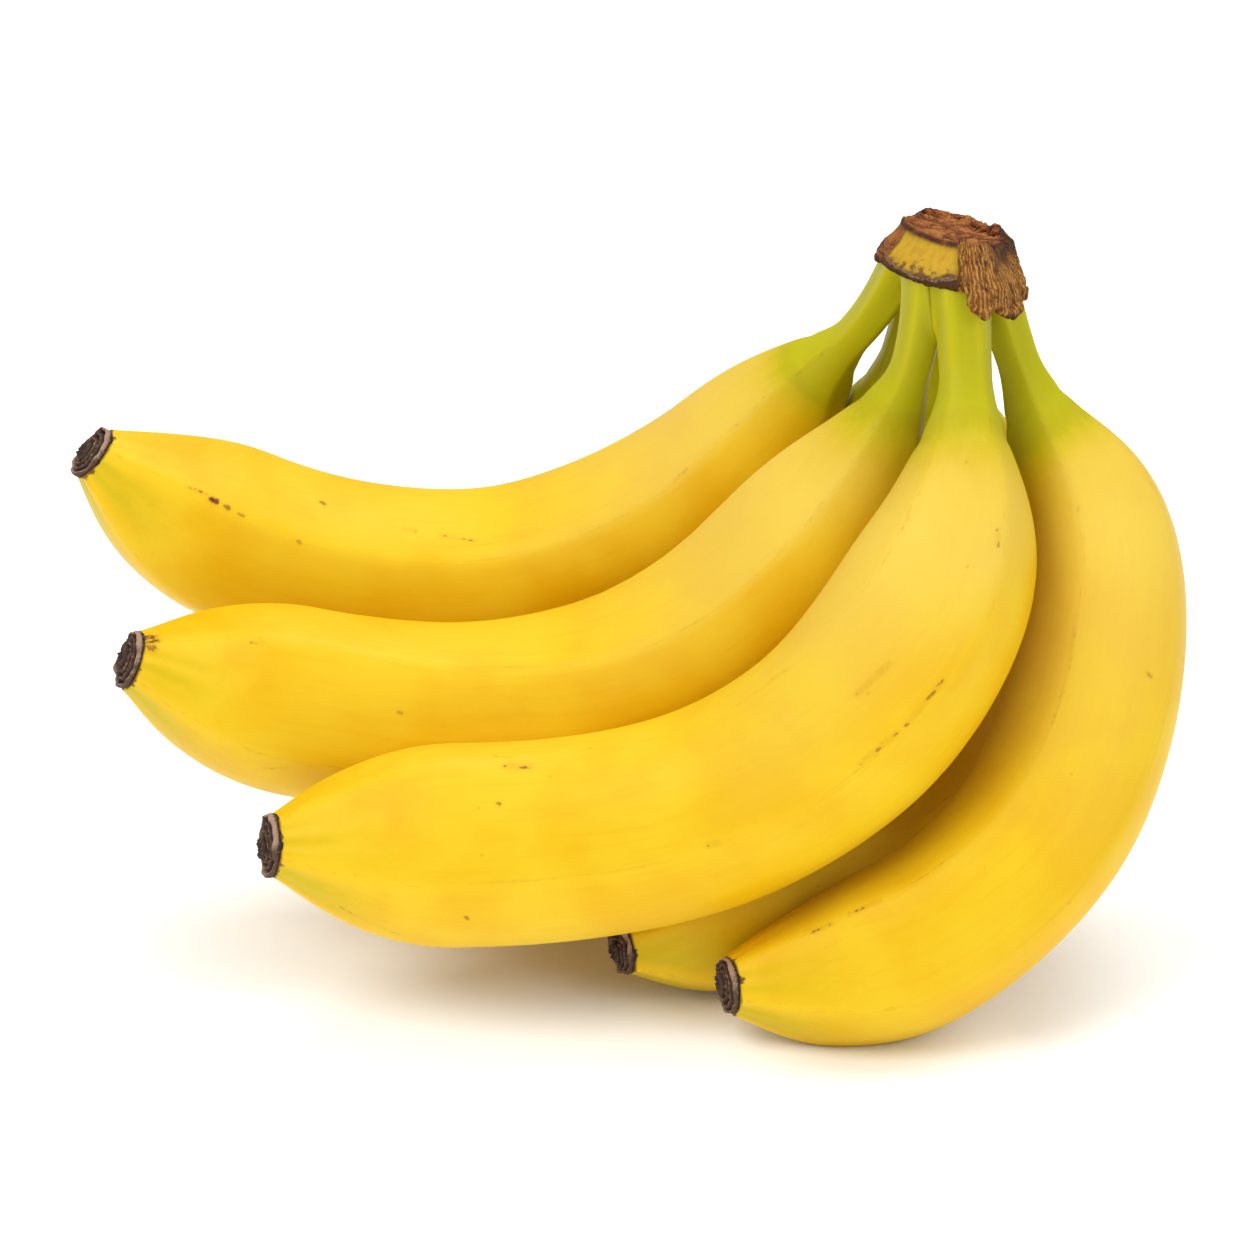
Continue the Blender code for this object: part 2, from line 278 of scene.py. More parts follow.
for lamp_name, lamp in LAMPS.items():
    lamp_data = bpy.data.lights.new(lamp_name, "AREA")
    lamp_data.shape = "DISK"
    lamp_data.size = lamp["size"]
    lamp_data.energy = lamp["watts"]
    lamp_data.color = lamp["shade"]
    lamp_object = bpy.data.objects.new(lamp_name, lamp_data)
    lamp_object.location = lamp["place"]
    towards = VIEW_TARGET - lamp_object.location
    lamp_object.rotation_euler = towards.to_track_quat("-Z", "Y").to_euler()
    bpy.context.scene.collection.objects.link(lamp_object)

world = bpy.data.worlds.new("white_room")
world.use_nodes = True
world.node_tree.nodes["Background"].inputs["Color"].default_value = WORLD_SHADE
world.node_tree.nodes["Background"].inputs["Strength"].default_value = WORLD_STRENGTH
bpy.context.scene.world = world
bpy.context.scene.view_settings.view_transform = "Standard"
print("lamps:", ", ".join(LAMPS))

# %% [markdown]
# ## What each fruit measures
#
# A banana is a tube with a bent centre line and a thickness that changes along it: a thin stalk,
# a quick shoulder, a long belly and a short taper. It could be sculpted, but a few numbers say the
# same thing exactly. Each fruit has a route in millimetres from inside the crown to its free end.
# Its `crest` says how far one of the five ridges is turned, in degrees, at distances along it.

# %% The six fruits in millimetres
MODEL_SHIFT = np.array((1.48, -35.99, 0.0))
FRUITS = {
    1: {"route": [(55.5, 28.5, 153), (47.6, 41, 135), (38.3, 52, 121.6), (25.6, 63, 100.8), (14, 68, 88.6),
                  (-6, 73, 76.4), (-31, 75, 69), (-63, 75, 71.6), (-91, 73, 82.6), (-110.8, 67.2, 99.3)],
        "belly": 36.8, "stalk": 7.6, "stalk_length": 37, "end": 11.6, "end_length": 37,
        "ridge": 0.046, "crest": [(0, 18)]},
    2: {"route": [(58.6, 21, 154), (56.6, 22, 136), (52.8, 24, 122.6), (43.4, 28, 102), (26, 33, 77),
                  (1, 36, 59), (-30, 37, 52), (-58, 37, 54), (-83, 36, 60), (-100, 31, 67)],
        "belly": 38.8, "stalk": 7.8, "stalk_length": 31, "end": 12.0, "end_length": 37,
        "ridge": 0.042, "crest": [(0, -14), (58, -8), (105, 10), (142, 28), (180, 38), (219, 40)]},
    3: {"route": [(64, 18, 154), (65, 14, 137), (65, 8, 125), (63, 0, 104), (55, -2, 84), (39, 0, 62),
                  (14, 2, 46.3), (-13, 3, 40.2), (-44, 2, 39.4), (-69.2, -5, 41.9)],
        "belly": 40.2, "stalk": 9.8, "stalk_length": 31, "end": 12.2, "end_length": 37,
        "ridge": 0.032, "crest": [(0, -12), (38, -8), (76, 14), (96, 25), (128, 35), (160, 39), (215, 40)]},
    4: {"route": [(69, 26, 153), (75.8, 26, 133), (82, 25, 118), (91.2, 22, 102), (94, 18, 83),
                  (91.4, 12, 61.2), (82.3, 4, 41.4), (64.6, -2, 24.5), (43.6, -3, 14.4),
                  (20.6, -9.5, 13.7)],
        "belly": 35.0, "stalk": 7.9, "stalk_length": 30.5, "end": 11.4, "end_length": 39,
        "ridge": 0.032, "crest": [(0, -28), (41, -24), (72, -3), (105, 5), (140, 15), (193, 20)]},
    5: {"route": [(65, 35, 153), (63, 42, 129), (66, 48, 108), (76, 53, 80), (77, 53, 54), (68, 48, 32),
                  (50, 39, 19), (31, 27, 18), (16, 17, 14.4), (-0.4, 9.6, 13.1)],
        "belly": 36.4, "stalk": 10.6, "stalk_length": 33, "end": 10.6, "end_length": 38,
        "ridge": 0.036, "crest": [(0, 0)]},
    6: {"route": [(61, 41, 153), (55, 50, 125), (51, 57, 107), (44, 68, 84), (36, 71, 61), (21, 71, 39),
                  (2, 70, 25), (-20, 68, 18), (-44, 66, 20), (-60, 61, 27)],
        "belly": 36.4, "stalk": 8.2, "stalk_length": 37, "end": 11.0, "end_length": 38,
        "ridge": 0.04, "crest": [(0, 30)]},
}
SHOULDER_START = 9
SHOULDER_LENGTH = 27
SHOULDER_CURVE = 1.8
END_EASE = 1.1
END_CURVE = 2.2
ROOT_FLARE = 2.0
ROOT_FLARE_LENGTH = 8
ROUTE_STEPS = 160
STEPS_PER_SPAN = 24
SMOOTHING_PASSES = 60


def smooth_line(points, steps):
    """Evenly spaced points on a smooth curve through the points, and their distance along it."""
    knots = np.array(points, float)
    knots = np.vstack([2 * knots[0] - knots[1], knots, 2 * knots[-1] - knots[-2]])
    line = []
    for before, start, end, after in zip(knots[:-3], knots[1:-2], knots[2:-1], knots[3:]):
        for t in np.linspace(0, 1, STEPS_PER_SPAN, endpoint=False):
            line.append(0.5 * (2 * start + (end - before) * t
                               + (2 * before - 5 * start + 4 * end - after) * t ** 2
                               + (3 * start - before - 3 * end + after) * t ** 3))
    line = np.array(line + [knots[-2]])
    for _ in range(SMOOTHING_PASSES):
        line[1:-1] = 0.5 * line[1:-1] + 0.25 * (line[:-2] + line[2:])
    along = np.r_[0, np.cumsum(np.linalg.norm(np.diff(line, axis=0), axis=1))]
    even = np.linspace(0, along[-1], steps)
    return np.stack([np.interp(even, along, values) for values in line.T], axis=1), even


def girth(fruit, along):
    """Radius at each distance along a fruit: stalk, shoulder, belly, then the taper to its end."""
    stalk, belly, end = fruit["stalk"] / 2, fruit["belly"] / 2, fruit["end"] / 2
    past_stalk = np.clip(along - fruit["stalk_length"] + SHOULDER_START, 0, None) / SHOULDER_LENGTH
    radius = stalk + (belly - stalk) * (1 - np.exp(-past_stalk ** SHOULDER_CURVE))
    radius += ROOT_FLARE * np.exp(-along / ROOT_FLARE_LENGTH)
    to_end = np.clip((along[-1] - along) / fruit["end_length"], 0, 1)
    narrowing = end / belly
    return radius * (narrowing + (1 - narrowing) * (1 - (1 - to_end ** END_EASE) ** END_CURVE))


def lay_out(fruit):
    """The centre line of a fruit, its radius, and three directions at each point of the line."""
    line, along = smooth_line(np.array(fruit["route"]) + MODEL_SHIFT, ROUTE_STEPS)
    ahead = np.gradient(line, axis=0)
    ahead /= np.linalg.norm(ahead, axis=1)[:, None]
    axis_of_bend = np.cross(ahead[:-1], ahead[1:]).sum(axis=0)
    across = axis_of_bend - ahead * (ahead @ axis_of_bend)[:, None]
    across /= np.linalg.norm(across, axis=1)[:, None]
    return {"line": line, "along": along, "radius": girth(fruit, along),
            "ahead": ahead, "across": across, "bend": np.cross(ahead, across)}


layouts = {number: lay_out(fruit) for number, fruit in FRUITS.items()}
for number, layout in layouts.items():
    print(f"fruit {number}: {layout['along'][-1]:.0f} mm long, {2 * layout['radius'].max():.1f} mm thick")

# %% [markdown]
# ## Fruits that press on each other
#
# Neighbours in a bunch grow against each other. Their peels flatten where they touch, and near
# the crown the stalks are fused, with only a crease between them. Two meshes pushed through each
# other would show a hard line, and a boolean would leave a messy seam. So each point of a peel is
# moved along its own spoke to where its fruit ends: at its own radius, at the surface it shares
# with a neighbour, or, near the crown, on the soft fillet that joins both.

# %% Where a peel ends
PEEL_GAP = 0.08
FUSE_LOW = 112
FUSE_HIGH = 143
FUSE_WIDTH = 3.2
NO_FUSE = 0.02
THINNEST = 0.5
HALVINGS = 14


def outside(points, others):
    """How far each point is outside the nearest of the other fruits."""
    line, radius = others
    square = (points ** 2).sum(axis=1)[:, None] + (line ** 2).sum(axis=1)[None, :] - 2 * points @ line.T
    return (np.sqrt(np.maximum(square, 0)) - radius[None, :]).min(axis=1)


def settle(centres, directions, reach, round_reach, others):
    """The length of each spoke, where it stops at a neighbour or on the fillet between stalks."""
    height = (centres[:, 2] - FUSE_LOW) / (FUSE_HIGH - FUSE_LOW)
    fuse = NO_FUSE + FUSE_WIDTH * np.clip(height, 0, 1) ** 1.5
    longest = reach + fuse
    near = outside(centres + directions * reach[:, None], others) < 2 * fuse + PEEL_GAP
    result = reach.copy()
    low = np.full(near.sum(), THINNEST)
    high = longest[near]
    for _ in range(HALVINGS):
        middle = (low + high) / 2
        other = outside(centres[near] + directions[near] * middle[:, None], others)
        own = middle - reach[near]
        closeness = np.maximum(fuse[near] - np.abs(own - other), 0)
        joined = np.minimum(own, other) - closeness ** 2 / (4 * fuse[near])
        fits = (joined <= 0) & (other - (middle - round_reach[near]) >= PEEL_GAP)
        low = np.where(fits, middle, low)
        high = np.where(fits, high, middle)
    result[near] = low
    return result


print(f"stalks fuse above {FUSE_LOW} mm, by up to {FUSE_WIDTH} mm")

# %% [markdown]
# ## The shape of a peel
#
# Look along a banana: it isn't round but a soft pentagon, with five ridges that are sharper near
# the stalk and the tip than on the belly. The outline of a pentagon with softened corners, laid
# lightly over the round tube, gives narrow crests and flat faces. Cloudy noise adds slow dents,
# because no real fruit is perfectly even. Small pleats gather at the tip, and a shallow line
# crosses the neck where the stalk ends.

# %% Rings of points for one peel
PEEL_RINGS = 210
PEEL_SIDES = 90
CROWDING = 0.07
RIDGES = 5
RIDGE_DEPTH_AT_ENDS = 0.075
CREST_ROUNDING = math.radians(3.5)
DENT_DEPTH = 0.012
DENT_SIZE = 26
PLEATS = 13
PLEAT_DEPTH = 0.022
PLEAT_REACH = 9
PLEAT_WANDER = 6
NECK_LINE_DEPTH = 0.045
NECK_LINE_WIDTH = 1.6
NECK_LINE_PAST_STALK = 2
NECK_LINE_WANDER = 5


def pentagon(from_crest):
    """A pentagon's outline with softened corners: 1.3 on a crest, below 0 on the faces."""
    half = math.pi / RIDGES
    turned = np.abs((from_crest + half) % (2 * half) - half)
    softened = np.sqrt(turned ** 2 + CREST_ROUNDING ** 2)
    rise = (1 / np.cos(half - np.minimum(softened, half)) - 1) / (1 / math.cos(half) - 1)
    return 2 * (rise - 0.3)


def slow_noise(radius, along, angle, size, seed):
    """Cloudy noise on the straightened fruit, one row for each ring."""
    return np.array([[noise.noise(Vector((math.cos(turn) * r, math.sin(turn) * r, distance)) / size
                                  + Vector((0, 0, seed))) for turn in angle]
                     for r, distance in zip(radius, along)])


def peel_rings(number):
    """Places of a peel's points, ring by ring, and where each would be on a straightened fruit."""
    fruit, layout = FRUITS[number], layouts[number]
    share = np.linspace(0, 1, PEEL_RINGS)
    share = share - CROWDING * np.sin(2 * math.pi * share)
    pick = share * (ROUTE_STEPS - 1)
    steps = np.arange(ROUTE_STEPS)
    centre, across, bend = [np.stack([np.interp(pick, steps, column) for column in layout[name].T], axis=1)
                            for name in ("line", "across", "bend")]
    radius = np.interp(pick, steps, layout["radius"])
    along = np.interp(pick, steps, layout["along"])
    angle = np.arange(PEEL_SIDES) * 2 * math.pi / PEEL_SIDES
    directions = (across[:, None, :] * np.cos(angle)[None, :, None]
                  + bend[:, None, :] * np.sin(angle)[None, :, None]).reshape(-1, 3)
    crest = np.radians(np.interp(along, *zip(*fruit["crest"])))
    from_crest = angle[None, :] - crest[:, None]
    dents = slow_noise(radius, along, angle, DENT_SIZE, 9 * number)
    depth = fruit["ridge"] + (RIDGE_DEPTH_AT_ENDS - fruit["ridge"]) * np.abs(2 * share - 1) ** 2
    shape = 1 + depth[:, None] * pentagon(from_crest) + DENT_DEPTH * dents
    to_end = along[-1] - along
    pleats = np.cos(PLEATS * angle + PLEAT_WANDER * dents) * np.exp(-to_end / PLEAT_REACH)[:, None]
    shape += PLEAT_DEPTH * pleats
    from_neck = along[:, None] - fruit["stalk_length"] - NECK_LINE_PAST_STALK - NECK_LINE_WANDER * dents
    shape -= NECK_LINE_DEPTH * np.exp(-(from_neck / NECK_LINE_WIDTH) ** 2)
    round_reach = np.repeat(radius, PEEL_SIDES)
    reach = round_reach * shape.ravel()
    others = [layouts[other] for other in FRUITS if other != number]
    lines = (np.vstack([other["line"] for other in others]),
             np.concatenate([other["radius"] for other in others]))
    centres = np.repeat(centre, PEEL_SIDES, axis=0)
    size = settle(centres, directions, reach, round_reach, lines)
    places = centres + directions * size[:, None]
    places[:, 2] = np.maximum(places[:, 2], 0)
    turns = from_crest.ravel()
    straight = np.stack([reach * np.cos(turns), reach * np.sin(turns), np.repeat(along, PEEL_SIDES)],
                        axis=1)
    return places.reshape(PEEL_RINGS, PEEL_SIDES, 3), straight.reshape(PEEL_RINGS, PEEL_SIDES, 3)


peels = {number: peel_rings(number) for number in FRUITS}
print("rings made for", len(peels), "peels of", PEEL_RINGS * PEEL_SIDES, "points")

# %% [markdown]
# ## From rings to a mesh
#
# A tube is modelled by extruding a circle: Blender copies the ring of edges and joins both copies
# with faces, and then the new ring is moved to its place. Each point also keeps its place on a
# straightened fruit as an attribute called `straight`, so patterns run along the fruit without a
# seam, wherever it bends.

# %% Loft and finish helpers
def loft(rings, extras=None):
    """A closed mesh through the rings, extruded from each one to the next."""
    mesh = bmesh.new()
    layer = mesh.verts.layers.float_vector.new("straight") if extras is not None else None
    verts = bmesh.ops.create_circle(mesh, segments=len(rings[0]), radius=1)["verts"]
    edges = list(mesh.edges)
    for row, ring in enumerate(rings):
        if row:
            made = bmesh.ops.extrude_edge_only(mesh, edges=edges)["geom"]
            verts = [item for item in made if isinstance(item, bmesh.types.BMVert)]
            edges = [item for item in made if isinstance(item, bmesh.types.BMEdge)
                     and all(vert in verts for vert in item.verts)]
        for column, vert in enumerate(verts):
            vert.co = Vector(ring[column]) * MM
            if layer is not None:
                vert[layer] = extras[row][column]
    bmesh.ops.holes_fill(mesh, edges=mesh.edges, sides=0)
    bmesh.ops.recalc_face_normals(mesh, faces=mesh.faces)
    return mesh


def finish_piece(name, mesh, node):
    """Makes an object of the mesh, which rides on the bunch and stands for a node of the model."""
    data = bpy.data.meshes.new(name)
    mesh.to_mesh(data)
    mesh.free()
    data.shade_smooth()
    piece = bpy.data.objects.new(name, data)
    bpy.context.scene.collection.objects.link(piece)
    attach(piece, "root")
    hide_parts(node)
    return piece


def cut_away(mesh, place, facing):
    """Cuts the mesh off on the side that the plane faces, and closes the cut."""
    geometry = list(mesh.verts) + list(mesh.edges) + list(mesh.faces)
    cut = bmesh.ops.bisect_plane(mesh, geom=geometry, plane_co=Vector(place) * MM, plane_no=facing,
                                 clear_outer=True)["geom_cut"]
    bmesh.ops.edgeloop_fill(mesh, edges=[item for item in cut if isinstance(item, bmesh.types.BMEdge)])


STALK_TOPS = {"place": (65.5, 0, 150.2), "facing": (0.09, 0, 1)}

peel_pieces = {}
for number, (places, straight) in peels.items():
    mesh = loft(places, straight)
    cut_away(mesh, STALK_TOPS["place"], STALK_TOPS["facing"])
    peel_pieces[number] = finish_piece(f"peel_{number}", mesh, f"banana_{number}")
    print(peel_pieces[number].name, len(peel_pieces[number].data.polygons), "faces")

# %% [markdown]
# ## Where the brown marks are
#
# Ripe bananas bruise first along their ridges, in dashes and dots. The photograph shows where: each
# mark below is a short line between two of its pixels. A ray from the camera through a pixel finds
# the place on the peel. The hidden sides get marks of the same kind from seeded random numbers.
# The nodes later make a short mark a dot, a long one a row of dashes and a wide one a bruise.

# %% Marks found by rays
# Each mark: its two pixels, its half width in millimetres and its strength.
PHOTO_MARKS = [
    ((189, 487), (206, 494), 0.5, 0.8),
    ((211, 499), (217, 502), 0.8, 1.0),
    ((225, 506), (229, 508), 0.65, 0.65),
    ((239, 514), (243, 516), 0.5, 0.45),
    ((298, 541), (301, 543), 0.45, 0.4),
    ((321, 502), (324, 504), 0.6, 0.6),
    ((404, 529), (415, 531), 0.45, 0.8),
    ((440, 535), (474, 541), 0.4, 0.7),
    ((251, 642), (263, 643), 0.5, 0.5),
    ((147, 637), (153, 637), 1.1, 0.9),
    ((149, 642), (157, 641), 1.0, 0.9),
    ((150, 647), (154, 648), 1.0, 0.7),
    ((264, 768), (287, 768), 0.4, 0.5),
    ((398, 712), (402, 713), 0.5, 0.35),
    ((494, 756), (512, 757), 0.35, 0.6),
    ((505, 766), (531, 767), 0.6, 0.9),
    ((497, 804), (500, 804), 0.5, 0.6),
    ((466, 917), (468, 919), 0.5, 0.6),
    ((340, 907), (398, 934), 0.4, 0.5),
    ((857, 694), (889, 664), 0.5, 0.8),
    ((860, 764), (898, 732), 0.5, 0.75),
    ((906, 725), (943, 681), 0.5, 0.75),
    ((998, 530), (998, 546), 0.45, 0.6),
    ((708, 845), (718, 843), 0.55, 0.8),
    ((812, 932), (831, 924), 0.5, 0.8),
    ((850, 914), (879, 901), 0.5, 0.8),
    ((1148, 673), (1151, 677), 0.5, 0.35),
]
HIDDEN_MARKS = 5
HIDDEN_MARK_RINGS = (70, PEEL_RINGS - 40)
HIDDEN_MARK_LENGTH = (3, 16)
HIDDEN_MARK_WIDTH = (0.4, 0.7)
HIDDEN_MARK_STRENGTH = (0.5, 0.9)


def camera_ray(pixel):
    """The way from the camera to what it sees at a pixel of the photograph."""
    right, up, back = [camera.rotation_euler.to_matrix().col[axis] for axis in range(3)]
    middle = FRAME_PIXELS / 2
    return (right * (pixel[0] - middle) - up * (pixel[1] - middle)) / FOCAL_PIXELS - back


def ray_hit(pixel, trees):
    """The fruit and the place, in metres, that the camera sees at a pixel of the photograph."""
    ray = camera_ray(pixel).normalized()
    hits = [(tree.ray_cast(camera.location, ray), number) for number, tree in trees.items()]
    hits = [(hit[3], hit[0], number) for hit, number in hits if hit[0] is not None]
    _, nearest, number = min(hits, key=lambda hit: hit[0])
    return number, nearest


depsgraph = bpy.context.evaluated_depsgraph_get()
trees = {number: BVHTree.FromObject(piece, depsgraph) for number, piece in peel_pieces.items()}
marks = {number: [] for number in FRUITS}
for from_pixel, to_pixel, width, strength in PHOTO_MARKS:
    number, start = ray_hit(from_pixel, trees)
    _, end = ray_hit(to_pixel, trees)
    marks[number].append((start / MM, end / MM, width, strength))

luck = random.Random(7)
for number, (places, _) in peels.items():
    for _ in range(HIDDEN_MARKS):
        row = luck.randrange(*HIDDEN_MARK_RINGS)
        turned = math.radians(np.interp(peels[number][1][row, 0, 2], *zip(*FRUITS[number]["crest"])))
        crest = luck.randrange(RIDGES) * 2 * math.pi / RIDGES + turned
        side = round(crest / (2 * math.pi) * PEEL_SIDES) % PEEL_SIDES
        start = Vector(places[row, side])
        end = Vector(places[min(row + luck.randrange(*HIDDEN_MARK_LENGTH), PEEL_RINGS - 1), side])
        facing_camera = (camera.location / MM - start).dot(start - Vector(places[row].mean(axis=0)))
        if facing_camera < 0:
            marks[number].append((start, end, luck.uniform(*HIDDEN_MARK_WIDTH),
                                  luck.uniform(*HIDDEN_MARK_STRENGTH)))
    print(f"fruit {number}: {len(marks[number])} marks")

# %% [markdown]
# ## The peel's material
#
# Peel is waxy yellow with many small changes: green where it is least ripe, at the stalk and a
# little at the tip, paler along the crests, faint fibres along the fruit, and brown marks with an
# orange halo. Some of it is painted light: a pale tint on the upper side near the stalk is a painted
# highlight, and the tip's green kept to its lower faces, darker olive in the stalk's grooves near
# the crown and an olive band along the neck's crease are painted shade. Painting that on would need
# a picture for each fruit. Nodes can work it out from a point's place instead, and stay sharp from
# any distance.

# %% Peel patterns
GOLD = colour(227, 177, 2)
HONEY = colour(223, 164, 0)
BUTTER = colour(232, 192, 28)
PAINTED_HIGHLIGHT_CREAM = colour(231, 199, 97)
LEAF = colour(184, 178, 12)
OLIVE = colour(131, 128, 3)
LIME = colour(194, 173, 3)
AMBER = colour(194, 120, 5)
BRUISE = colour(105, 48, 9)
REDDISH = colour(122, 61, 35)
WIDE_MARK = 1.0
LONGEST_DOT = 1.5
DRY_EDGE = colour(78, 41, 26)
GREEN_ENDS = {1: 43, 2: 35, 3: 34.5, 4: 38, 5: 41, 6: 44}


def distance_to_line(place, start, end):
    """How far a place is from the straight line between two points."""
    span = end - start
    reached = (place - tuple(start)).node("ShaderNodeVectorMath", {"operation": "DOT_PRODUCT"},
                                          {0: place - tuple(start), 1: tuple(span / span.length_squared)},
                                          "Value")
    reached = reached.node("ShaderNodeClamp", inputs={"Value": reached})
    nearest = reached.node("ShaderNodeVectorMath", {"operation": "SCALE"},
                           {0: tuple(span), "Scale": reached})
    return (place - tuple(start) - nearest).length()


def peel_material(number):
    """The peel of one fruit, with its own marks."""
    material, shader, wire = new_material(f"peel_{number}")
    length = float(layouts[number]["along"][-1])
    place = wire.place_in_mm()
    straight = wire.attribute("straight", "Vector")
    fibres = straight * (1.0, 1.0, 0.05)
    along = straight.part("Z")
    to_end = length - along
    angle = wire.maths("ARCTAN2", straight.part("Y"), straight.part("X"))
    turn = angle * (RIDGES / (2 * math.pi))
    from_crest = abs(turn - wire.maths("ROUND", turn)) * 2

    broad = straight.clouds(0.035, 3.0)
    streaks = fibres.clouds(0.6, 4.0, 0.6)
    fine = fibres.clouds(2.2, 3.0, 0.6)
    shade = broad.ramp(0.35, 0.65).tint(BUTTER, GOLD)
    shade = (streaks.ramp(0.45, 0.8) * 0.35).tint(BUTTER, shade)
    shade = (streaks.ramp(0.5, 0.2) * 0.3).tint(HONEY, shade)
    shade = (from_crest.ramp(0.16, 0.0) * 0.22).tint(BUTTER, shade)

    upwards = wire.upwards()
    neck = along - GREEN_ENDS[number] + (broad - 0.5) * 14 + (streaks - 0.5) * 4.5
    # Painted highlight: a pale tint laid on the upward-facing peel near the stalk.
    painted_highlight = (neck + (broad - 0.5) * 50).ramp(100, 20) * (neck + 6.0).ramp(0, 14) * upwards.ramp(-0.05, 0.4)
    shade = (painted_highlight * 0.52).tint(PAINTED_HIGHLIGHT_CREAM, shade)
    shade = (neck.ramp(24, -4) * 0.4).tint(LIME, shade)
    shade = (neck.ramp(7, -7) * 0.92).tint(LEAF, shade)
    # Painted shade: a darker olive band along the neck's crease.
    shade = (abs(neck + 3.0).ramp(3.0, 0.3) * 0.15).tint(OLIVE, shade)
    # Painted shade: darker olive on the faces between the crests, strongest near the crown.
    furrow_shade = (along + (streaks - 0.5) * 16).ramp(34, 6) * from_crest.ramp(0.0, 0.8)
    shade = (furrow_shade * 0.3).tint(OLIVE, shade)
    # The tip's green is real; keeping it to downward-facing faces is painted shade on the lower side.
    green_tip_and_lower_shade = (to_end + (streaks - 0.5) * 12).ramp(24, 2) * from_crest.ramp(0.1, 0.7)
    green_tip_and_lower_shade = green_tip_and_lower_shade * upwards.ramp(0.8, -0.1)
    shade = (green_tip_and_lower_shade * 0.75).tint(LIME, shade)
    shade = (to_end.ramp(60, 5) * from_crest.ramp(0.35, 0.0) * 0.5).tint(BUTTER, shade)

    wobble = place + (place.clouds(1.3, 2.0, output="Color") - 0.5) * 0.9
    dots = (straight * (1.0, 1.0, 0.6)).spots(0.95).ramp(0.5, 0.2)
    brown = None
    halo = None
    for start, end, width, strength in marks[number]:
        distance = distance_to_line(wobble, start, end)
        spot = distance.ramp(width, width * 0.3) * strength
        if width >= WIDE_MARK:
            spot = spot * fine.ramp(0.34, 0.5)
        elif (end - start).length > LONGEST_DOT:
            spot = spot * dots * 0.85
        ring = distance.ramp(width * 2.2, width * 0.4) * strength * 0.8
        brown = spot if brown is None else brown | spot
        halo = ring if halo is None else halo | ring
    specks = (straight * (1.0, 1.0, 0.8)).spots(0.16)
    freckles = specks.ramp(0.08, 0.02) * straight.clouds(0.11, 0.0).ramp(0.52, 0.62)
    off_crest = from_crest * (straight * (1.0, 1.0, 0.0)).length() * (math.pi / RIDGES)
    crest_line = off_crest.ramp(0.9, 0.2) * (fibres * 1.6).clouds(0.5, 3.0, 0.6).ramp(0.5, 0.7)
    shade = ((halo | (crest_line * 0.6) | freckles) * 0.35).tint(AMBER, shade)
    bruise = place.clouds(0.9, 2.0).ramp(0.4, 0.6).tint(REDDISH, BRUISE)
    shade = (brown | (crest_line * dots * 0.18)).tint(bruise, shade)

    points = (straight * (0.5, 0.5, 0.05)).clouds(1.0, 3.0, 0.6)
    dry = (to_end - points.ramp(0.52, 0.8) * 1.5).ramp(0.45, -0.1)
    shade = (dry * 0.85).tint(DRY_EDGE, shade)

    roughness = 0.41 + broad * 0.08 + streaks * 0.08 + (brown | dry) * 0.25
    relief = streaks * 0.5 + fine * 0.35 - brown * 0.5 + place.clouds(1.6, 3.0) * 0.35
    plug_in(shader, Base_Color=shade, Roughness=roughness, Normal=relief.bump(0.12, 0.55),
            Specular_IOR_Level=0.175, Subsurface_Weight=0.12, Subsurface_Radius=(1.0, 0.55, 0.12),
            Subsurface_Scale=2.5 * MM)
    return material


for number, piece in peel_pieces.items():
    piece.data.materials.append(peel_material(number))
print("peel materials:", len(peel_pieces), "with", len(piece.data.materials[0].node_tree.nodes), "nodes")

# %% [markdown]
# ## Blossom ends
#
# Where the flower fell off, a banana has a dry scar: a curled lip round a crinkled dish, with a
# dark stump inside, not quite in the middle. It is almost a turned shape, so it is lofted from
# rings like the peel. Noise bends the lip, pushes the stump aside and crinkles the dish, so no two
# ends are alike.

# %% Blossom end shapes
# Each ring: its share of the end's radius, and how far past the end it is.
SCAR_PROFILE = [(0.84, -1.4), (0.92, -0.8), (0.97, -0.2), (0.99, 0.25), (1.0, 0.6), (0.99, 1.0),
                (0.96, 1.3), (0.93, 1.4), (0.90, 1.25), (0.86, 0.85), (0.825, 0.7), (0.79, 1.05),
                (0.755, 1.65), (0.72, 1.9), (0.685, 1.65), (0.65, 1.2), (0.615, 1.1), (0.58, 1.5),
                (0.545, 2.1), (0.51, 2.3), (0.475, 2.0), (0.44, 1.55), (0.405, 1.5), (0.375, 2.1),
                (0.345, 2.7), (0.31, 3.05), (0.25, 3.2), (0.16, 3.25), (0.05, 3.1)]
HIGHEST_RING = 3.2
RIDGE_AT = 0.93
RIDGE_SPACING = 0.21
SCAR_SIDES = 90
STUMP_OFFSET = 0.34
STUMP_TURN = 0.5
STUMP_SHARE = 0.40
LIP_WAVE = 0.6
LIP_WANDER = 0.10
RING_WANDER = 0.10
CRINKLE = 0.55


